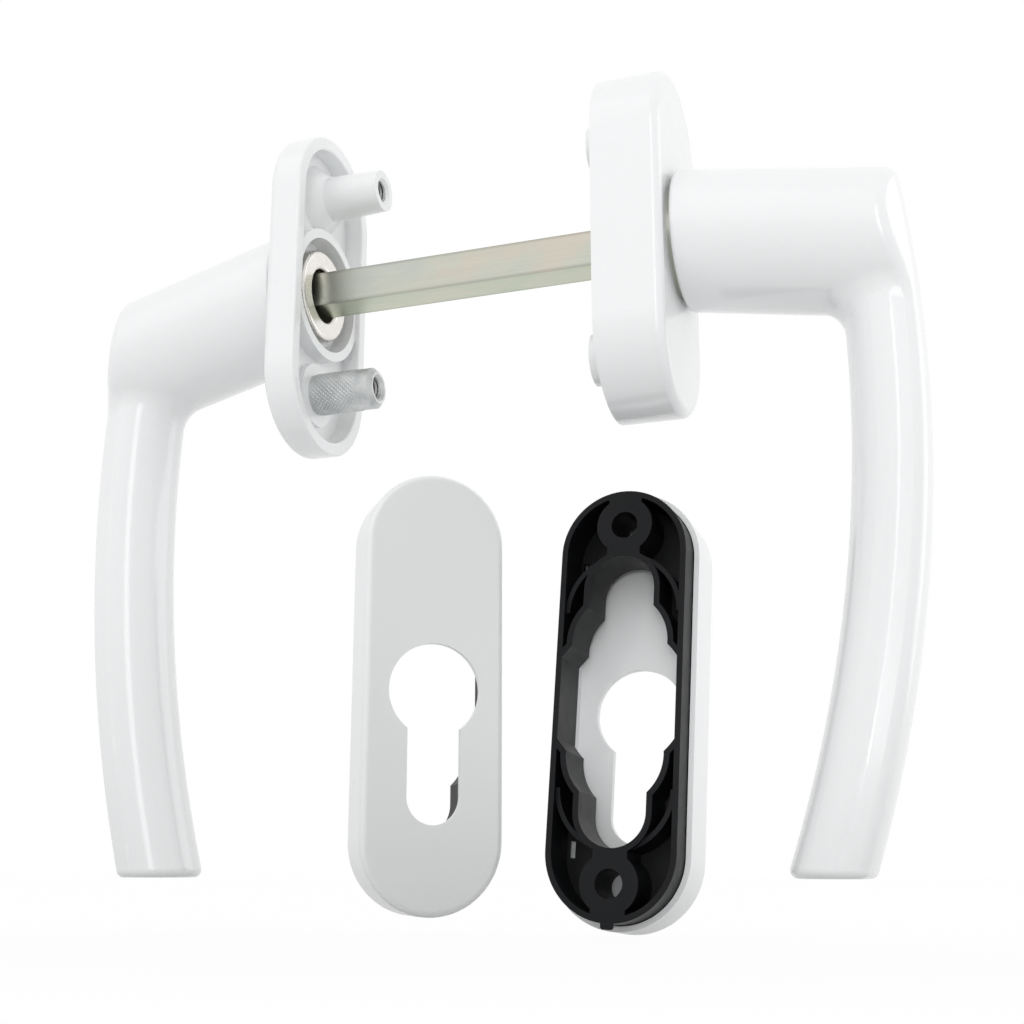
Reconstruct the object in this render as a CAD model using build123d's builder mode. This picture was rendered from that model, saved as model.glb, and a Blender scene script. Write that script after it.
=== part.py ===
"""Door handle set for a patio door: two bow levers on oval rosettes, and two cylinder escutcheons.

Millimetres, +Z up. X runs along the spindle, from the outside handle to the inside handle.
The origin is on the spindle axis, halfway through the door.
"""
import os
from math import asin, cos, degrees, hypot, radians, sin, sqrt, tan

from build123d import *

os.makedirs("parts", exist_ok=True)

# Door and fixing pattern
door_gap = 60.0
post_spacing = 43.0
screw_hole_diameter = 5.3
thread_core_diameter = 4.2
thread_mouth_diameter = 5.4
thread_depth = 14.0

# Square spindle
spindle_side = 7.0
spindle_length = 100.0
spindle_end_chamfer = 0.8
socket_clearance = 0.05
socket_depth = 22.6

# Rosette outline
rosette_width = 31.0
rosette_height = 68.2
rosette_edge_radius = 1.8

# Outside rosette, a hollow casting
outer_rosette_depth = 7.0
outer_rosette_wall = 2.8
outer_cavity_depth = 3.8
rim_edge_radius = 0.5
hub_diameter = 27.4
hub_set_back = 1.0
dimple_diameter = 2.4
dimple_depth = 0.6
dimple_spacing = 38.0
dimple_offset = 8.6

# Fixing posts of the outside rosette
post_reach = 11.0
post_tip_diameter = 8.4
post_root_diameter = 9.6
post_flare_diameter = 15.0
post_flare_length = 3.2
sleeve_diameter = 8.2
sleeve_seat_diameter = 13.0
sleeve_seat_height = 1.2
sleeve_spigot_diameter = 6.0
sleeve_spigot_length = 1.6
sleeve_chamfer = 0.9
sleeve_clearance = 0.02

# Inside rosette, a base under a snap-on cover
inner_rosette_depth = 13.0
cover_side_wall = 1.8
cover_front_wall = 1.6
cover_clearance = 0.3
inner_base_depth = 8.5
inner_hub_diameter = 24.0
inner_post_diameter = 10.0
inner_post_reach = 3.9
screw_head_diameter = 10.4
screw_head_floor = 3.2

# Bearing stack on each side, measured outward from the rosette's back face
journal_diameter = 16.0
running_clearance = 0.03
bush_diameter = 19.0
bush_fit = 0.02
bush_start = 4.7
bearing_recess_diameter = 23.6
thrust_ring_diameter = 21.0
thrust_ring_thickness = 0.5
thrust_ring_clearance = 0.15
neck_gap = 0.3
cover_hole_clearance = 0.3
snap_ring_diameter = 20.6
snap_ring_thickness = 1.0
snap_ring_depth = 0.7
snap_ring_gap_angle = 50.0
snap_ring_gap_turn = 90.0
snap_ring_end_radius = 0.6
snap_ring_play = 0.3
groove_clearance = 0.05
washer_diameter = 18.8
washer_hole_diameter = 11.0
washer_thickness = 1.7
washer_edge_radius = 0.7
washer_sleeve_diameter = 12.4
washer_sleeve_length = 6.0
washer_fit = 0.05

# Lever
neck_diameter = 26.4
neck_edge_radius = 0.8
grip_width = 17.0
grip_thickness = 13.5
grip_bow_radius = 255.0
grip_crown_radius = 26.0
grip_crease_depth = 5.2
grip_crease_radius = 4.0
grip_side_taper = 12.0
lever_length = 116.0
shoulder_radius = 6.0
grip_edge_radius = 2.4
tip_edge_radius = 1.4

# Outside and inside levers differ a little in neck slope and bow
outer_neck_droop = 14.8
outer_bow_reach = 72.9
outer_bow_height = -42.0
inner_neck_droop = 9.5
inner_bow_reach = 79.2
inner_bow_height = -31.0

# Escutcheon cover and the moulded base inside it
escutcheon_width = 27.0
escutcheon_height = 83.0
escutcheon_depth = 11.0
escutcheon_wall = 1.0
escutcheon_front = 1.4
escutcheon_edge_radius = 1.2
escutcheon_clearance = 0.15
cylinder_diameter = 17.6
cylinder_slot_width = 10.2
cylinder_height = 33.6
cylinder_offset = -0.4

# Moulded base
base_proud = 0.5
base_plate = 1.4
base_wall = 1.1
base_screw_inset = 8.0
base_boss_diameter = 11.0
base_screw_diameter = 5.2
base_open_inset = 14.2
base_open_slot = 12.8
base_open_round = 27.2
base_open_shoulder = 18.7
base_open_shoulder_offset = 10.5
base_web_width = 6.5
base_rib = 0.9
base_rib_set_back = 0.6
base_arch_radius = 11.0
base_arch_offset = 16.6
pry_nub_width = 2.4
pry_nub_reach = 1.0
pry_nub_round = 0.5
pry_nub_clearance = 0.1
snap_window_width = 1.4
snap_window_height = 3.2
snap_window_inset = 14.5
snap_window_margin = 0.3

# Where the loose escutcheons stand
outer_escutcheon_place = (-13.8, 11.1, -81.5)
outer_escutcheon_turn = 38.0
inner_escutcheon_place = (26.0, 16.5, -84.1)
inner_escutcheon_tilt = (-5.0, 2.3, -2.0)
inner_base_lift = 5.0

# Back faces of the two rosettes: local X across, local Y up, local Z outward from the door
outer_back = Plane(origin=(-door_gap / 2, 0, 0), x_dir=(0, -1, 0), z_dir=(-1, 0, 0))
inner_back = Plane(origin=(door_gap / 2, 0, 0), x_dir=(0, 1, 0), z_dir=(1, 0, 0))

# Feet of the two fixing posts on the outside rosette's floor, local Z towards the door
upper_post_foot, lower_post_foot = [
    Plane(
        origin=(-door_gap / 2 - outer_cavity_depth, 0, side * post_spacing / 2),
        x_dir=(0, 1, 0),
        z_dir=(1, 0, 0),
    )
    for side in (1, -1)
]
post_length = outer_cavity_depth + post_reach
thread_mouth_depth = (thread_mouth_diameter - thread_core_diameter) / 2
on_base = (Align.CENTER, Align.CENTER, Align.MIN)
to_base = (Align.CENTER, Align.CENTER, Align.MAX)

# Back faces of the two escutcheons, local Y up and local Z towards the front
outer_turn = radians(outer_escutcheon_turn)
outer_escutcheon_back = Plane(
    origin=outer_escutcheon_place,
    x_dir=(cos(outer_turn), sin(outer_turn), 0),
    z_dir=(sin(outer_turn), -cos(outer_turn), 0),
)
inner_escutcheon_back = Plane(
    origin=inner_escutcheon_place,
    x_dir=(-1, 0, 0),
    z_dir=(0, 1, 0),
).rotated(inner_escutcheon_tilt)

# Levels of the bearing stack
snap_ring_end = bush_start - snap_ring_play
snap_ring_start = snap_ring_end - snap_ring_thickness
washer_end = snap_ring_start - groove_clearance
washer_start = washer_end - washer_thickness
groove_diameter = journal_diameter - 2 * snap_ring_depth
socket_side = spindle_side + 2 * socket_clearance


def save(part, name):
    """Label a finished piece and write it out under its own name."""
    part.label = name
    export_step(part, f"parts/{name}.step")


def make_lever(rosette_depth, droop, bow_reach, bow_height):
    """Lever pointing down, with its bearing journal and square socket, built outward along +X."""
    start = door_gap / 2 + rosette_depth + thrust_ring_thickness + neck_gap
    stack_origin = door_gap / 2
    bow_axis = Axis((bow_reach - grip_bow_radius, 0, bow_height), (0, 1, 0))
    crest = grip_bow_radius + grip_thickness / 2
    crown_centre = crest - grip_crown_radius
    neck_plane = Plane(
        origin=(start, 0, 0),
        x_dir=(0, 1, 0),
        z_dir=(cos(radians(droop)), 0, -sin(radians(droop))),
    )
    grip_top = -(bow_reach - start) * tan(radians(droop))
    top_angle = degrees(asin((grip_top - bow_height) / grip_bow_radius))
    tip_angle = degrees(asin((lever_length + bow_height) / grip_bow_radius))

    def radial_plane(angle):
        """Plane through the bow axis, local X outward along the radius, local Y across the grip."""
        outward = Vector(cos(radians(angle)), 0, sin(radians(angle)))
        centre = Vector(bow_reach - grip_bow_radius, 0, bow_height)
        return Plane(origin=centre, x_dir=outward, z_dir=(-sin(radians(angle)), 0, cos(radians(angle))))

    def on_crown(edge):
        """True where an edge lies on the crowned outer face."""
        middle = edge @ 0.5
        radius = hypot(middle.X - bow_reach + grip_bow_radius, middle.Z - bow_height)
        return abs(radius - crown_centre - sqrt(grip_crown_radius**2 - middle.Y**2)) < 0.01

    def at_shoulder(edge):
        """True where an edge joins the grip to the underside of the round neck."""
        local = neck_plane.to_local_coords(edge @ 0.5)
        on_neck = abs(hypot(local.X, local.Y) - neck_diameter / 2) < 0.01
        return on_neck and local.Y < 0 and abs(local.X) < grip_width / 2 + 0.01

    spare = neck_diameter
    with BuildPart() as lever:
        with BuildSketch(neck_plane.offset(-spare / 2)):
            Circle(neck_diameter / 2)
        extrude(amount=bow_reach - start + spare)
        # The grip is round on the inside and flat on its flanks, which lean in from a soft crease.
        with BuildSketch(radial_plane(top_angle)) as section:
            with BuildLine():
                half = grip_width / 2
                crease = crest - grip_crease_depth
                far = grip_bow_radius + spare
                far_half = half - (far - crease) * tan(radians(grip_side_taper))
                ThreePointArc((crease, -half), (crest - grip_thickness, 0), (crease, half))
                Polyline((crease, half), (far, far_half), (far, -far_half), (crease, -half))
            make_face()
            creases = section.vertices().filter_by(lambda vertex: abs(abs(vertex.Y) - half) < 0.01)
            fillet(creases, grip_crease_radius)
        revolve(axis=bow_axis, revolution_arc=top_angle + 2 * tip_angle)
        fillet(lever.edges().filter_by(at_shoulder), shoulder_radius)
        # One crowned outer face trims the neck and the grip alike.
        with BuildSketch(radial_plane(2 * tip_angle)):
            with BuildLine():
                side = neck_diameter * 0.6
                rim = crown_centre + sqrt(grip_crown_radius**2 - side**2)
                inside = grip_bow_radius - bow_reach
                ThreePointArc((rim, -side), (crest, 0), (rim, side))
                Polyline((rim, side), (inside, side), (inside, -side), (rim, -side))
            make_face()
        revolve(axis=bow_axis, revolution_arc=4 * tip_angle, mode=Mode.INTERSECT)
        split(bisect_by=Plane.YZ.offset(start), keep=Keep.TOP)
        split(bisect_by=Plane.XY.offset(-lever_length), keep=Keep.TOP)
        rim_edges = lever.edges().filter_by(on_crown)
        fillet(rim_edges.filter_by_position(Axis.Z, -lever_length + 1, neck_diameter), grip_edge_radius)
        fillet(lever.faces().sort_by(Axis.Z)[0].edges(), tip_edge_radius)
        fillet(lever.faces().sort_by(Axis.X)[0].edges(), neck_edge_radius)
        # Journal with the snap ring groove, bored for the washer's sleeve and then for the spindle.
        with BuildSketch(Plane.YZ.offset(start)):
            Circle(journal_diameter / 2)
        extrude(amount=-(start - stack_origin - washer_end))
        with BuildSketch(Plane.YZ.offset(stack_origin + snap_ring_start - groove_clearance)):
            Circle(journal_diameter / 2 + groove_clearance)
            Circle(groove_diameter / 2, mode=Mode.SUBTRACT)
        extrude(amount=snap_ring_thickness + 2 * groove_clearance, mode=Mode.SUBTRACT)
        with BuildSketch(Plane.YZ.offset(stack_origin + washer_end)):
            Circle(washer_sleeve_diameter / 2 + washer_fit)
        extrude(amount=washer_sleeve_length + washer_fit, mode=Mode.SUBTRACT)
        with BuildSketch(Plane.YZ.offset(stack_origin + washer_end)):
            Rectangle(socket_side, socket_side)
        extrude(amount=socket_depth, mode=Mode.SUBTRACT)
    return lever.part


def tap_post(foot):
    """Cut a thread's core into the tip of a post in the part being built, with a countersunk mouth."""
    core = thread_core_diameter / 2
    with Locations(foot.offset(post_length)):
        Cylinder(core, thread_depth, align=to_base, mode=Mode.SUBTRACT)
        Cone(core, thread_mouth_diameter / 2, thread_mouth_depth, align=to_base, mode=Mode.SUBTRACT)


def stadium(height, width, wall=0):
    """Upright oval outline, drawn in by a wall thickness."""
    SlotOverall(height - 2 * wall, width - 2 * wall, rotation=90)


def make_bush(back, end):
    """Plain bearing bush, from behind the rosette's front wall to a level flush with its front."""
    with BuildPart() as bush:
        with BuildSketch(back.offset(bush_start)):
            Circle(bush_diameter / 2)
            Circle(journal_diameter / 2 + running_clearance, mode=Mode.SUBTRACT)
        extrude(amount=end - bush_start)
    return bush.part


def make_thrust_ring(back, level):
    """Thin ring that lies on the rosette's front, between it and the neck."""
    with BuildPart() as ring:
        with BuildSketch(back.offset(level)):
            Circle(thrust_ring_diameter / 2)
            Circle(journal_diameter / 2 + thrust_ring_clearance, mode=Mode.SUBTRACT)
        extrude(amount=thrust_ring_thickness)
    return ring.part


def make_snap_ring(back):
    """Open spring ring in the journal's groove."""
    reach = snap_ring_diameter
    turns = [radians(snap_ring_gap_turn + side * snap_ring_gap_angle / 2) for side in (-1, 1)]
    with BuildPart() as ring:
        with BuildSketch(back.offset(snap_ring_start)):
            Circle(snap_ring_diameter / 2)
            Circle(groove_diameter / 2 + groove_clearance, mode=Mode.SUBTRACT)
            with BuildLine():
                Polyline((0, 0), *[(reach * cos(turn), reach * sin(turn)) for turn in turns], close=True)
            make_face(mode=Mode.SUBTRACT)
        extrude(amount=snap_ring_thickness)
        fillet(ring.edges().filter_by(Axis.X), snap_ring_end_radius)
    return ring.part


def make_washer(back):
    """Retaining washer with a sleeve pressed into the journal, rounded on the side that faces the door."""
    with BuildPart() as washer:
        with BuildSketch(back.offset(washer_start)):
            Circle(washer_diameter / 2)
        extrude(amount=washer_thickness)
        with BuildSketch(back.offset(washer_end)):
            Circle(washer_sleeve_diameter / 2)
        extrude(amount=washer_sleeve_length)
        with BuildSketch(back.offset(washer_start)):
            Circle(washer_hole_diameter / 2)
        extrude(amount=washer_thickness + washer_sleeve_length, mode=Mode.SUBTRACT)
        near_door = washer.faces().sort_by(lambda face: abs(face.center().X))[0]
        fillet(near_door.edges(), washer_edge_radius)
    return washer.part


def make_escutcheon_cover(back):
    """Pressed oval cover with a hole for a profile cylinder."""
    slot_end = cylinder_offset + cylinder_diameter / 2 - cylinder_height + cylinder_slot_width / 2
    with BuildPart() as cover:
        with BuildSketch(back):
            stadium(escutcheon_height, escutcheon_width)
        extrude(amount=escutcheon_depth)
        front = cover.faces().sort_by(Axis(back.origin, back.z_dir))[-1]
        fillet(front.edges(), escutcheon_edge_radius)
        with BuildSketch(back):
            stadium(escutcheon_height, escutcheon_width, escutcheon_wall)
        extrude(amount=escutcheon_depth - escutcheon_front, mode=Mode.SUBTRACT)
        with BuildSketch(back):
            with Locations((0, cylinder_offset)):
                Circle(cylinder_diameter / 2)
            with Locations((0, (cylinder_offset + slot_end) / 2)):
                SlotCenterToCenter(cylinder_offset - slot_end, cylinder_slot_width, rotation=90)
        extrude(amount=escutcheon_depth, mode=Mode.SUBTRACT)
    return cover.part


def make_escutcheon_base(back):
    """Moulded base inside the cover, open towards the door, with bosses, ribs and a stepped opening."""
    inset = escutcheon_wall + escutcheon_clearance
    height = escutcheon_height - 2 * inset
    width = escutcheon_width - 2 * inset
    front = escutcheon_depth - escutcheon_front - escutcheon_clearance
    plate_back = front - base_plate
    rear = back.offset(-base_proud)
    inner_width = width - 2 * base_wall
    screw_spacing = escutcheon_height - 2 * base_screw_inset
    window_spacing = inner_width - 2 * snap_window_margin - snap_window_width
    window_height_spacing = escutcheon_height - 2 * snap_window_inset
    open_length = escutcheon_height - 2 * base_open_inset

    def opening(margin):
        """Cylinder opening between the side walls, the same up and down so that the base fits either way."""
        stadium(open_length, base_open_slot, -margin)
        Circle(base_open_round / 2 + margin)
        with GridLocations(0, 2 * base_open_shoulder_offset, 1, 2):
            Circle(base_open_shoulder / 2 + margin)
        Rectangle(inner_width, height, mode=Mode.INTERSECT)

    with BuildPart() as base:
        with BuildSketch(rear):
            stadium(height, width)
        extrude(amount=base_proud + front)
        with BuildSketch(rear):
            stadium(height, width, base_wall)
        extrude(amount=base_proud + plate_back, mode=Mode.SUBTRACT)
        with BuildSketch(rear):
            opening(base_wall)
            with GridLocations(0, screw_spacing, 1, 2):
                Circle(base_boss_diameter / 2)
            Rectangle(base_web_width, height - base_wall)
        extrude(amount=base_proud + front)
        with BuildSketch(back.offset(base_rib_set_back)):
            with GridLocations(0, 2 * base_arch_offset, 1, 2):
                Circle(base_arch_radius + base_rib / 2)
            with GridLocations(0, 2 * base_arch_offset, 1, 2):
                Circle(base_arch_radius - base_rib / 2, mode=Mode.SUBTRACT)
            Rectangle(width, 2 * base_arch_offset, mode=Mode.SUBTRACT)
        extrude(amount=front - base_rib_set_back)
        with BuildSketch(rear):
            opening(0)
            with GridLocations(0, screw_spacing, 1, 2):
                Circle(base_screw_diameter / 2)
            with GridLocations(window_spacing, window_height_spacing, 2, 2):
                Rectangle(snap_window_width, snap_window_height)
        extrude(amount=base_proud + front, mode=Mode.SUBTRACT)
        # A small pry nub lies over the cover's rim at the lower end.
        with BuildSketch(rear):
            with Locations((0, -height / 2)):
                RectangleRounded(pry_nub_width, 2 * pry_nub_reach, pry_nub_round)
        extrude(amount=base_proud - pry_nub_clearance)
    return base.part


# Outside handle
with BuildPart() as outer_rosette:
    with BuildSketch(outer_back):
        stadium(rosette_height, rosette_width)
    extrude(amount=outer_rosette_depth)
    fillet(outer_rosette.faces().sort_by(Axis.X)[0].edges(), rosette_edge_radius)
    with BuildSketch(outer_back):
        stadium(rosette_height, rosette_width, outer_rosette_wall)
    extrude(amount=outer_cavity_depth, mode=Mode.SUBTRACT)
    fillet(outer_rosette.faces().sort_by(Axis.X)[-1].edges(), rim_edge_radius)
    with BuildSketch(outer_back.offset(outer_cavity_depth)):
        with Locations((dimple_offset, dimple_spacing / 2), (dimple_offset, -dimple_spacing / 2)):
            Circle(dimple_diameter / 2)
    extrude(amount=dimple_depth, mode=Mode.SUBTRACT)
    with BuildSketch(outer_back.offset(hub_set_back)):
        Circle(hub_diameter / 2)
    extrude(amount=outer_cavity_depth - hub_set_back)
    with Locations(upper_post_foot):
        Cone(post_flare_diameter / 2, post_root_diameter / 2, post_flare_length, align=on_base)
        Cone(post_root_diameter / 2, post_tip_diameter / 2, post_length, align=on_base)
    with BuildSketch(lower_post_foot):
        Circle(sleeve_seat_diameter / 2)
    extrude(amount=sleeve_seat_height)
    with BuildSketch(outer_back):
        Circle(bearing_recess_diameter / 2)
    extrude(amount=bush_start, mode=Mode.SUBTRACT)
    with BuildSketch(outer_back):
        Circle(bush_diameter / 2 + bush_fit)
    extrude(amount=outer_rosette_depth, mode=Mode.SUBTRACT)
    with BuildSketch(lower_post_foot.offset(sleeve_seat_height)):
        Circle(sleeve_spigot_diameter / 2 + sleeve_clearance)
    extrude(amount=-sleeve_spigot_length - sleeve_clearance, mode=Mode.SUBTRACT)
    tap_post(upper_post_foot)

with BuildPart() as lower_fixing_sleeve:
    with BuildSketch(lower_post_foot.offset(sleeve_seat_height)):
        Circle(sleeve_diameter / 2)
    extrude(amount=post_length - sleeve_seat_height)
    chamfer(lower_fixing_sleeve.faces().sort_by(Axis.X)[-1].edges(), sleeve_chamfer)
    with BuildSketch(lower_post_foot.offset(sleeve_seat_height)):
        Circle(sleeve_spigot_diameter / 2)
    extrude(amount=-sleeve_spigot_length)
    tap_post(lower_post_foot)

save(outer_rosette.part, "outer_rosette")
save(lower_fixing_sleeve.part, "lower_fixing_sleeve")
outer_lever = make_lever(outer_rosette_depth, outer_neck_droop, outer_bow_reach, outer_bow_height)
save(mirror(outer_lever, about=Plane.YZ), "outer_lever")

# Inside handle
inner_hub_top = inner_rosette_depth - cover_front_wall - cover_clearance
with BuildPart() as inner_rosette_base:
    with BuildSketch(inner_back):
        stadium(rosette_height, rosette_width, cover_side_wall + cover_clearance)
    extrude(amount=inner_base_depth)
    with BuildSketch(inner_back):
        Circle(inner_hub_diameter / 2)
    extrude(amount=inner_hub_top)
    with BuildSketch(inner_back):
        with GridLocations(0, post_spacing, 1, 2):
            Circle(inner_post_diameter / 2)
    extrude(amount=-inner_post_reach)
    with BuildSketch(inner_back):
        Circle(bearing_recess_diameter / 2)
    extrude(amount=bush_start, mode=Mode.SUBTRACT)
    with BuildSketch(inner_back):
        Circle(bush_diameter / 2 + bush_fit)
    extrude(amount=inner_hub_top, mode=Mode.SUBTRACT)
    with BuildSketch(inner_back.offset(-inner_post_reach)):
        with GridLocations(0, post_spacing, 1, 2):
            Circle(screw_hole_diameter / 2)
    extrude(amount=inner_post_reach + inner_base_depth, mode=Mode.SUBTRACT)
    with BuildSketch(inner_back.offset(screw_head_floor)):
        with GridLocations(0, post_spacing, 1, 2):
            Circle(screw_head_diameter / 2)
    extrude(amount=inner_base_depth - screw_head_floor, mode=Mode.SUBTRACT)

with BuildPart() as inner_rosette_cover:
    with BuildSketch(inner_back):
        stadium(rosette_height, rosette_width)
    extrude(amount=inner_rosette_depth)
    fillet(inner_rosette_cover.faces().sort_by(Axis.X)[-1].edges(), rosette_edge_radius)
    with BuildSketch(inner_back):
        stadium(rosette_height, rosette_width, cover_side_wall)
    extrude(amount=inner_rosette_depth - cover_front_wall, mode=Mode.SUBTRACT)
    with BuildSketch(inner_back):
        Circle(bush_diameter / 2 + cover_hole_clearance)
    extrude(amount=inner_rosette_depth, mode=Mode.SUBTRACT)

save(inner_rosette_base.part, "inner_rosette_base")
save(inner_rosette_cover.part, "inner_rosette_cover")
inner_lever = make_lever(inner_rosette_depth, inner_neck_droop, inner_bow_reach, inner_bow_height)
save(inner_lever, "inner_lever")

# Bearing stacks of both handles
for side, back, level in (
    ("outer", outer_back, outer_rosette_depth),
    ("inner", inner_back, inner_rosette_depth),
):
    save(make_bush(back, level), f"{side}_bearing_bush")
    save(make_thrust_ring(back, level), f"{side}_thrust_ring")
    save(make_snap_ring(back), f"{side}_snap_ring")
    save(make_washer(back), f"{side}_retaining_washer")

# Spindle through both handles
with BuildPart() as spindle:
    with BuildSketch(Plane.YZ.offset(-spindle_length / 2)):
        Rectangle(spindle_side, spindle_side)
    extrude(amount=spindle_length)
    chamfer(spindle.faces().filter_by(Axis.X).edges(), spindle_end_chamfer)
save(spindle.part, "spindle")

# Escutcheons, the inside one with its base drawn partly out of the cover
for side, back, lift in (
    ("outer", outer_escutcheon_back, 0),
    ("inner", inner_escutcheon_back, inner_base_lift),
):
    save(make_escutcheon_cover(back), f"{side}_escutcheon_cover")
    save(make_escutcheon_base(back.offset(-lift)), f"{side}_escutcheon_base")
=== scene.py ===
"""Look of the door handle set: coated levers and rosettes, plated spindle, moulded escutcheon bases."""
import math

import bmesh
import bpy
from mathutils import Matrix, Vector


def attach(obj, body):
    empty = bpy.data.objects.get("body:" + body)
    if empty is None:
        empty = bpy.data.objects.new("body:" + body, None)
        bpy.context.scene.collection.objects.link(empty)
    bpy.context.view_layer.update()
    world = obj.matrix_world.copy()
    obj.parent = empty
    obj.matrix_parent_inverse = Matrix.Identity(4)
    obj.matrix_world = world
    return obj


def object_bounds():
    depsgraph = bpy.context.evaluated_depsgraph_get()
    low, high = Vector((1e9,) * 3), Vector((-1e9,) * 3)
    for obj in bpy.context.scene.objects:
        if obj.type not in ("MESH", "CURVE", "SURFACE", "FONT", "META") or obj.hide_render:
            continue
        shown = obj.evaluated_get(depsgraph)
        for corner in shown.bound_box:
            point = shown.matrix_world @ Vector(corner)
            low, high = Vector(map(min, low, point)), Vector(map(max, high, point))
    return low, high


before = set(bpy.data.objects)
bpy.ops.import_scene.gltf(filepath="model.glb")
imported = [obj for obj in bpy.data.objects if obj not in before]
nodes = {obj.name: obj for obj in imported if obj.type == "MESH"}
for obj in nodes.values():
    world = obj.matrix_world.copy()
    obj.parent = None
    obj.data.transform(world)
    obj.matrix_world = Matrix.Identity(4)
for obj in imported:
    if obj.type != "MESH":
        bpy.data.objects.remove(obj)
cad_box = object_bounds()
MM = 0.001

# Camera fitted to the photograph, in millimetres and degrees; its near clip is in metres
CAMERA_PLACE = (96.3, -239.2, -114.4)
CAMERA_AZIMUTH = 20.0
CAMERA_ELEVATION = -14.3
FOCAL_PIXELS = 1400.0
IMAGE_PIXELS = 1024.0
SENSOR = 36.0
CLIP_START = 0.01

# Places taken from the source, in millimetres
POST_TIP = -19.0
POST_HEIGHT = 21.5
SLEEVE_FOOT = -32.6
SPINDLE_HALF = 3.5

# Ways the escutcheons' front faces look
OUTER_FRONT = (0.616, -0.788, 0.0)
INNER_FRONT = (0.035, 0.995, -0.088)

# Thread in each tapped post: sizes in millimetres, then steps of its mesh
THREAD_INSET = 0.55
THREAD_LENGTH = 11.2
THREAD_PITCH = 0.8
THREAD_CREST = 1.72
THREAD_ROOT = 2.09
THREAD_ROWS = 112
THREAD_COLUMNS = 48

# Knurl on the lower sleeve: sizes in millimetres, its fade as a share of its length, then steps of its mesh
KNURL_START = 0.4
KNURL_LENGTH = 9.6
KNURL_RADIUS = 4.05
KNURL_RISE = 0.22
KNURL_DIAMONDS = 28
KNURL_FADE = 0.04
KNURL_ROWS = 88
KNURL_COLUMNS = 240

# Colours of the coat: on all sides, and the grey painted onto the covers' front faces as shade
COATED = (0.86, 0.87, 0.875)
SHADED_FRONT_GREY = (0.735, 0.75, 0.75)
COAT_SHADE = 0.985

# How squarely a face looks the front's way where the painted shade on the covers begins, and where it is
# full
FRONT_FROM = 0.80
FRONT_FULL = 0.98

# Clear gloss over the coat
COAT_IOR = 1.5
COAT_WEIGHT = 0.35
COAT_ROUGHNESS = 0.07

# Colours of yellow passivated zinc, as stops over a noise: upright faces, then level ones; the cloudy tones
# are the plating's own, and the pinker upright and greener level faces are painted reflection
UPRIGHT_TINT_AND_REFLECTION = (
    (0.36, (0.44, 0.46, 0.42)),
    (0.50, (0.475, 0.485, 0.425)),
    (0.64, (0.51, 0.48, 0.41)),
)
LEVEL_TINT_AND_REFLECTION = (
    (0.36, (0.505, 0.54, 0.41)),
    (0.50, (0.54, 0.58, 0.475)),
    (0.64, (0.59, 0.59, 0.49)),
)
# Painted shade along the bar's edges, as a darkening factor
EDGE_SHADE = (0.74, 0.74, 0.74)

# Reach across the bar, in half widths, where the painted shade along its edges begins, and where it is full
EDGE_FROM = 1.80
EDGE_FULL = 1.98

# Roughness of drawn zinc, and how far that of other finishes strays from its middle
DRAWN_ROUGHNESS = (0.22, 0.42)
COAT_STRAY = (0.03, 0.05)
STRAY = (0.06, 0.08)

# Noise textures, in waves per metre
COAT_CLOUD = 26
COAT_SHEEN = 240
COAT_PEEL = 620
ZINC_CLOUD = 110
ZINC_DRAWN = 1500
PLATE_CLOUD = 420
PLATE_SHEEN = 900
PLATE_GRAIN = 2600
MOULD_FLOW = 60
MOULD_SHEEN = 300
MOULD_GRAIN = 3200

# Stretch of the noise along the bar
CLOUD_STRETCH = (0.6, 1.0, 1.0)
DRAWN_STRETCH = (0.03, 1.0, 1.0)

# Heights of the bumps in metres, and how strongly the drawn lines show
COAT_BUMP = 0.0004
METAL_BUMP = 0.0003
MOULD_BUMP = 0.0002
DRAWN_GRAIN = 0.18

# Floor: its gap in millimetres, half its side in metres, its share of plain white, and its darker painted
# patch
FLOOR_GAP = 0.4
FLOOR_HALF = 3.0
FLOOR_WHITE = 0.97
FLOOR_ROUGHNESS = 0.9
FLOOR_STOPS = ((0.04, (0.45, 0.45, 0.45)), (0.09, (0.87, 0.87, 0.87)))
PATCH_SHIFT = (0.0, 0.03, 0.0)
PATCH_STRETCH = (0.5, 1.0, 1.0)

# World's strength where it only gives light; 1 is white
FILL = 0.86

# Softboxes, each with its place and its size in metres and its power in watts
MIDDLE = (0.0, 0.0, -0.045)
SOFTBOXES = {
    "key": ((-0.5, -1.0, 0.9), (1.4, 1.4), 1.95),
    "strip": ((0.26, -0.855, 0.16), (0.20, 0.8), 1.35),
    "right_back": ((0.7, 0.45, 0.15), (0.7, 0.7), 1.2),
}

# Narrow beam from the camera's side into the open escutcheon, in metres, watts and degrees
BEAM_PLACE = (0.105, -0.28, -0.10)
BEAM_AIM = (0.026, 0.024, -0.085)
BEAM_POWER = 0.7
BEAM_ANGLE = 15.0
BEAM_BLEND = 0.6
BEAM_RADIUS = 0.02


def material(name):
    """New node material, with its tree and its shader."""
    made = bpy.data.materials.new(name)
    made.use_nodes = True
    tree = made.node_tree
    return made, tree, tree.nodes["Principled BSDF"]


def add(tree, kind, **values):
    """New node with its properties and default inputs set."""
    node = tree.nodes.new(kind)
    for key, value in values.items():
        if key in node.bl_rna.properties:
            setattr(node, key, value)
        else:
            node.inputs[key.replace("_", " ")].default_value = value
    return node


def coords_of(tree):
    """Object coordinates, in metres in the part's frame."""
    return tree.nodes.new("ShaderNodeTexCoord").outputs["Object"]


def normal_of(tree):
    """Surface normal in the same frame."""
    return tree.nodes.new("ShaderNodeTexCoord").outputs["Normal"]


def mapped(tree, coords, **values):
    """Coordinates that are moved or stretched."""
    node = add(tree, "ShaderNodeMapping", **values)
    tree.links.new(coords, node.inputs["Vector"])
    return node.outputs["Vector"]


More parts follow.
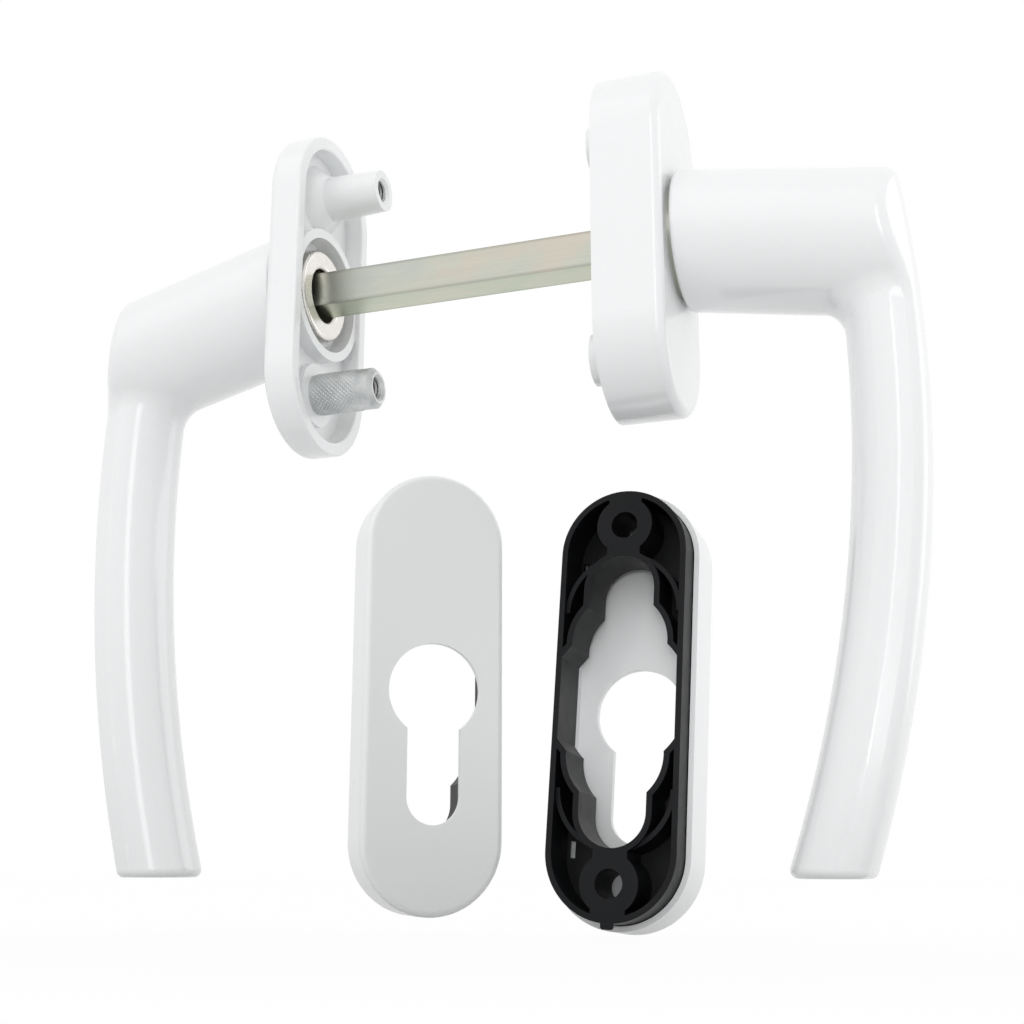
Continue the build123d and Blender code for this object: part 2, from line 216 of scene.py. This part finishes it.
def noise(tree, coords, scale, detail=3.0, roughness=0.5):
    """Noise texture over coordinates, with its scale in waves per metre."""
    node = add(tree, "ShaderNodeTexNoise", Scale=scale, Detail=detail, Roughness=roughness)
    tree.links.new(coords, node.inputs["Vector"])
    return node.outputs["Fac"]


def ramp(tree, value, *stops):
    """Colour ramp over a value; each stop is a place and a colour."""
    node = tree.nodes.new("ShaderNodeValToRGB")
    elements = node.color_ramp.elements
    while len(elements) < len(stops):
        elements.new(0.5)
    for element, (place, colour) in zip(elements, stops):
        element.position = place
        element.color = (*colour, 1)
    tree.links.new(value, node.inputs["Fac"])
    return node.outputs["Color"]


def spread(tree, value, low, high):
    """Maps a value of 0 to 1 onto a range."""
    node = add(tree, "ShaderNodeMapRange", To_Min=low, To_Max=high)
    tree.links.new(value, node.inputs["Value"])
    return node.outputs["Result"]


def share_of(tree, value, low, high):
    """Maps a range onto 0 to 1."""
    node = add(tree, "ShaderNodeMapRange", From_Min=low, From_Max=high)
    tree.links.new(value, node.inputs["Value"])
    return node.outputs["Result"]


def math_node(tree, operation, *values):
    """Result of a maths operation on linked values."""
    node = add(tree, "ShaderNodeMath", operation=operation)
    for index, value in enumerate(values):
        tree.links.new(value, node.inputs[index])
    return node.outputs[0]


def mix(tree, factor, first, second, blend="MIX"):
    """Lays a second colour, plain or linked, over a first one by a factor."""
    node = add(tree, "ShaderNodeMix", data_type="RGBA", blend_type=blend)
    tree.links.new(factor, node.inputs["Factor"])
    tree.links.new(first, node.inputs["A"])
    if isinstance(second, tuple):
        node.inputs["B"].default_value = (*second, 1)
    else:
        tree.links.new(second, node.inputs["B"])
    return node.outputs["Result"]


def bump(tree, shader, height, strength, distance):
    """Bump from a height value, onto a shader's normal."""
    node = add(tree, "ShaderNodeBump", Strength=strength, Distance=distance)
    tree.links.new(height, node.inputs["Height"])
    tree.links.new(node.outputs["Normal"], shader.inputs["Normal"])


def white_coat(name, gloss, peel, front=None):
    """Powder coat: pale enamel with faint orange peel under a clear gloss; a front face is painted greyer,
    as shade.
    """
    made, tree, shader = material(name)
    coords = coords_of(tree)
    shade = tuple(c * COAT_SHADE for c in COATED)
    colour = ramp(tree, noise(tree, coords, COAT_CLOUD, 2), (0.3, shade), (0.7, COATED))
    if front:
        # Painted shade: faces that look the front's way are greyed
        toward = add(tree, "ShaderNodeVectorMath", operation="DOT_PRODUCT")
        tree.links.new(normal_of(tree), toward.inputs[0])
        toward.inputs[1].default_value = front
        front_shade = share_of(tree, toward.outputs["Value"], FRONT_FROM, FRONT_FULL)
        colour = mix(tree, front_shade, colour, SHADED_FRONT_GREY)
    tree.links.new(colour, shader.inputs["Base Color"])
    smears = noise(tree, coords, COAT_SHEEN, 2)
    sheen = spread(tree, smears, gloss - COAT_STRAY[0], gloss + COAT_STRAY[1])
    tree.links.new(sheen, shader.inputs["Roughness"])
    shader.inputs["IOR"].default_value = COAT_IOR
    shader.inputs["Coat Weight"].default_value = COAT_WEIGHT
    shader.inputs["Coat Roughness"].default_value = COAT_ROUGHNESS
    bump(tree, shader, noise(tree, coords, COAT_PEEL, 2), peel, COAT_BUMP)
    return made


def yellow_zinc(name, half=None):
    """Yellow passivated zinc with cloudy tints, painted pinker on upright faces and greener on level ones
    as reflection; a bar's half width gives it painted shade along its edges.
    """
    made, tree, shader = material(name)
    coords = coords_of(tree)
    cloud = noise(tree, mapped(tree, coords, Scale=CLOUD_STRETCH), ZINC_CLOUD, 4, 0.6)
    facing = tree.nodes.new("ShaderNodeSeparateXYZ")
    tree.links.new(normal_of(tree), facing.inputs["Vector"])
    # Painted reflection: the tint follows how level each face lies
    level = math_node(tree, "ABSOLUTE", facing.outputs["Z"])
    colour = mix(tree, level, ramp(tree, cloud, *UPRIGHT_TINT_AND_REFLECTION), ramp(tree, cloud, *LEVEL_TINT_AND_REFLECTION))
    # Painted shade: the bar darkens towards its edges
    if half:
        place = tree.nodes.new("ShaderNodeSeparateXYZ")
        tree.links.new(coords, place.inputs["Vector"])
        sides = [math_node(tree, "ABSOLUTE", place.outputs[axis]) for axis in ("Y", "Z")]
        edge_shade = share_of(tree, math_node(tree, "ADD", *sides), half * EDGE_FROM, half * EDGE_FULL)
        colour = mix(tree, edge_shade, colour, EDGE_SHADE, "MULTIPLY")
    tree.links.new(colour, shader.inputs["Base Color"])
    drawn = noise(tree, mapped(tree, coords, Scale=DRAWN_STRETCH), ZINC_DRAWN, 3)
    tree.links.new(spread(tree, drawn, *DRAWN_ROUGHNESS), shader.inputs["Roughness"])
    shader.inputs["Metallic"].default_value = 1.0
    bump(tree, shader, drawn, DRAWN_GRAIN, METAL_BUMP)
    return made


def bare_metal(name, dark, light, rough, grain):
    """Zinc plate with a soft grain."""
    made, tree, shader = material(name)
    coords = coords_of(tree)
    colour = ramp(tree, noise(tree, coords, PLATE_CLOUD, 4, 0.6), (0.3, dark), (0.7, light))
    tree.links.new(colour, shader.inputs["Base Color"])
    sheen = spread(tree, noise(tree, coords, PLATE_SHEEN, 3), rough - STRAY[0], rough + STRAY[1])
    tree.links.new(sheen, shader.inputs["Roughness"])
    shader.inputs["Metallic"].default_value = 1.0
    bump(tree, shader, noise(tree, coords, PLATE_GRAIN, 3), grain, METAL_BUMP)
    return made


def polymer(name, dark, light, rough, grain, shine):
    """Moulded polymer with a fine grain and faint flow marks."""
    made, tree, shader = material(name)
    coords = coords_of(tree)
    colour = ramp(tree, noise(tree, coords, MOULD_FLOW, 4, 0.6), (0.35, dark), (0.75, light))
    tree.links.new(colour, shader.inputs["Base Color"])
    sheen = spread(tree, noise(tree, coords, MOULD_SHEEN, 3), rough - STRAY[0], rough + STRAY[1])
    tree.links.new(sheen, shader.inputs["Roughness"])
    bump(tree, shader, noise(tree, coords, MOULD_GRAIN, 2), grain, MOULD_BUMP)
    shader.inputs["Specular IOR Level"].default_value = shine
    return made


coat = white_coat("white_coat", gloss=0.17, peel=0.06)
# Covers' coat, with the front faces painted grey as shade
outer_cover_coat = white_coat("white_coat_outer_cover", gloss=0.36, peel=0.08, front=OUTER_FRONT)
inner_cover_coat = white_coat("white_coat_inner_cover", gloss=0.36, peel=0.08, front=INNER_FRONT)
zinc_yellow = yellow_zinc("yellow_zinc")
zinc_bar = yellow_zinc("yellow_zinc_bar", half=SPINDLE_HALF * MM)
zinc_grey = bare_metal("grey_zinc", (0.40, 0.41, 0.41), (0.56, 0.56, 0.55), rough=0.46, grain=0.35)
zinc_cast = bare_metal("grey_zinc_cast", (0.52, 0.54, 0.54), (0.71, 0.72, 0.72), rough=0.50, grain=0.35)
zinc_bright = bare_metal("bright_zinc", (0.69, 0.67, 0.63), (0.75, 0.73, 0.70), rough=0.26, grain=0.02)
# Bearing bushes: moulded polymer, made darker than its own grey so that it paints the shadow in the gap
# around each retaining washer
bush_shadow_polymer = polymer("bush", (0.20, 0.20, 0.19), (0.27, 0.27, 0.255), rough=0.5, grain=0.1, shine=0.5)
black = polymer(
    "black_moulding", (0.004, 0.0045, 0.0055), (0.0075, 0.008, 0.009), rough=0.42, grain=0.15, shine=0.16
)

NODE_MATERIALS = {
    "outer_lever": coat,
    "outer_rosette": coat,
    "lower_fixing_sleeve": zinc_cast,
    "outer_bearing_bush": bush_shadow_polymer,
    "outer_thrust_ring": zinc_yellow,
    "outer_snap_ring": zinc_grey,
    "outer_retaining_washer": zinc_bright,
    "inner_lever": coat,
    "inner_rosette_base": coat,
    "inner_rosette_cover": coat,
    "inner_bearing_bush": bush_shadow_polymer,
    "inner_thrust_ring": zinc_yellow,
    "inner_snap_ring": zinc_grey,
    "inner_retaining_washer": zinc_bright,
    "spindle": zinc_bar,
    "outer_escutcheon_cover": outer_cover_coat,
    "outer_escutcheon_base": black,
    "inner_escutcheon_cover": inner_cover_coat,
    "inner_escutcheon_base": black,
}
for name, made in NODE_MATERIALS.items():
    data = nodes[name].data
    data.materials.clear()
    data.materials.append(made)


def mesh_object(name, build, finish):
    """Turns a bmesh into an object in the scene, with one material."""
    data = bpy.data.meshes.new(name)
    build.to_mesh(data)
    build.free()
    data.materials.append(finish)
    made = bpy.data.objects.new(name, data)
    bpy.context.scene.collection.objects.link(made)
    return made


def keep(name, build, finish):
    """Turns a bmesh into a smooth piece that rides on the fixed set."""
    piece = mesh_object(name, build, finish)
    for face in piece.data.polygons:
        face.use_smooth = True
    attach(piece, "fixed_set")


def lathe_grid(start, rows, columns, surface, centre_height):
    """Closed band around an axis along X; surface gives x and radius for a row and column."""
    build = bmesh.new()
    grid = []
    for row in range(rows + 1):
        ring = []
        for column in range(columns):
            x, radius = surface(row / rows, column / columns)
            turn = 2 * math.pi * column / columns
            place = (start + x, radius * math.cos(turn), centre_height + radius * math.sin(turn))
            ring.append(build.verts.new(Vector(place) * MM))
        grid.append(ring)
    for near, far in zip(grid, grid[1:]):
        for column in range(columns):
            beside = (column + 1) % columns
            build.faces.new((near[column], near[beside], far[beside], far[column]))
    return build


def ridge(along, around):
    """Screw thread: a helical ridge from the post's mouth inwards."""
    turns = THREAD_LENGTH / THREAD_PITCH
    phase = (along * turns + around) % 1.0
    rise = 1 - abs(2 * phase - 1)
    return -THREAD_INSET - along * THREAD_LENGTH, THREAD_ROOT - (THREAD_ROOT - THREAD_CREST) * rise


def diamonds(along, around):
    """Diamond knurl that fades out at both ends, with a plain collar left at the sleeve's tip."""
    x = KNURL_START + along * KNURL_LENGTH
    pitch_turns = x / (2 * math.pi * KNURL_RADIUS / KNURL_DIAMONDS)
    first = abs(2 * ((around * KNURL_DIAMONDS + pitch_turns) % 1.0) - 1)
    second = abs(2 * ((around * KNURL_DIAMONDS - pitch_turns) % 1.0) - 1)
    fade = min(1.0, along / KNURL_FADE, (1 - along) / KNURL_FADE)
    return x, KNURL_RADIUS + fade * KNURL_RISE * min(first, second)


for name, height in (("upper_thread", POST_HEIGHT), ("lower_thread", -POST_HEIGHT)):
    thread = lathe_grid(POST_TIP, THREAD_ROWS, THREAD_COLUMNS, ridge, height)
    bmesh.ops.reverse_faces(thread, faces=thread.faces)
    keep(name, thread, zinc_grey)
knurl = lathe_grid(SLEEVE_FOOT, KNURL_ROWS, KNURL_COLUMNS, diamonds, -POST_HEIGHT)
keep("sleeve_knurl", knurl, zinc_cast)


def seen(tree):
    """1 where the camera, a mirror or glass sees a surface, and 0 where it only gives light."""
    path = tree.nodes.new("ShaderNodeLightPath").outputs
    direct = math_node(tree, "MAXIMUM", path["Is Camera Ray"], path["Is Glossy Ray"])
    return math_node(tree, "MAXIMUM", direct, path["Is Transmission Ray"])


# Floor below the escutcheons, painted darker close to the part, which keeps the bounce off the lowest
# surfaces and shows faintly as a painted shadow
floor_material, floor_tree, floor_shader = material("floor")
patch = mapped(floor_tree, coords_of(floor_tree), Location=PATCH_SHIFT, Scale=PATCH_STRETCH)
floor_reach = add(floor_tree, "ShaderNodeVectorMath", operation="LENGTH")
floor_tree.links.new(patch, floor_reach.inputs[0])
floor_colour = ramp(floor_tree, floor_reach.outputs["Value"], *FLOOR_STOPS)
floor_tree.links.new(floor_colour, floor_shader.inputs["Base Color"])
floor_shader.inputs["Roughness"].default_value = FLOOR_ROUGHNESS

# Plain white over the floor where it is seen; the rest of it keeps the shadow
floor_white = spread(floor_tree, seen(floor_tree), 0.0, FLOOR_WHITE)
floor_glow = add(floor_tree, "ShaderNodeEmission", Strength=1.0)
floor_mix = floor_tree.nodes.new("ShaderNodeMixShader")
floor_tree.links.new(floor_white, floor_mix.inputs["Fac"])
floor_tree.links.new(floor_shader.outputs[0], floor_mix.inputs[1])
floor_tree.links.new(floor_glow.outputs[0], floor_mix.inputs[2])
floor_tree.links.new(floor_mix.outputs[0], floor_tree.nodes["Material Output"].inputs["Surface"])

floor_build = bmesh.new()
bmesh.ops.create_grid(floor_build, x_segments=1, y_segments=1, size=FLOOR_HALF)
floor = mesh_object("floor", floor_build, floor_material)
floor.location = (0, 0, cad_box[0][2] - FLOOR_GAP * MM)

# World: soft fill on the part, white behind it
world = bpy.data.worlds.new("studio")
bpy.context.scene.world = world
world.use_nodes = True
world_tree = world.node_tree
backdrop = world_tree.nodes["Background"]
backdrop.inputs["Color"].default_value = (1, 1, 1, 1)
strength = spread(world_tree, seen(world_tree), FILL, 1.0)
world_tree.links.new(strength, backdrop.inputs["Strength"])


def place_lamp(lamp, place, aim):
    """Puts a lamp at a place, facing a point."""
    lit = bpy.data.objects.new(lamp.name, lamp)
    lit.location = place
    lit.rotation_euler = (Vector(aim) - Vector(place)).to_track_quat("-Z", "Y").to_euler()
    bpy.context.scene.collection.objects.link(lit)


for name, (place, size, power) in SOFTBOXES.items():
    lamp = bpy.data.lights.new(name, "AREA")
    lamp.shape = "RECTANGLE"
    lamp.size, lamp.size_y = size
    lamp.energy = power
    place_lamp(lamp, place, MIDDLE)

beam = bpy.data.lights.new("beam", "SPOT")
beam.energy = BEAM_POWER
beam.spot_size = math.radians(BEAM_ANGLE)
beam.spot_blend = BEAM_BLEND
beam.shadow_soft_size = BEAM_RADIUS
place_lamp(beam, BEAM_PLACE, BEAM_AIM)

# Camera, with its axes to the right, up and back
azimuth = math.radians(CAMERA_AZIMUTH)
elevation = math.radians(CAMERA_ELEVATION)
level_reach = math.cos(elevation)
right = Vector((math.cos(azimuth), math.sin(azimuth), 0))
back = Vector((math.sin(azimuth) * level_reach, -math.cos(azimuth) * level_reach, math.sin(elevation)))
up = back.cross(right)
turned = Matrix((right, up, back)).transposed().to_4x4()
camera_data = bpy.data.cameras.new("camera")
camera_data.sensor_width = SENSOR
camera_data.lens = FOCAL_PIXELS / IMAGE_PIXELS * SENSOR
camera_data.clip_start = CLIP_START
camera = bpy.data.objects.new("camera", camera_data)
camera.matrix_world = Matrix.Translation(Vector(CAMERA_PLACE) * MM) @ turned
bpy.context.scene.collection.objects.link(camera)
bpy.context.scene.camera = camera
bpy.context.scene.view_settings.view_transform = "Standard"
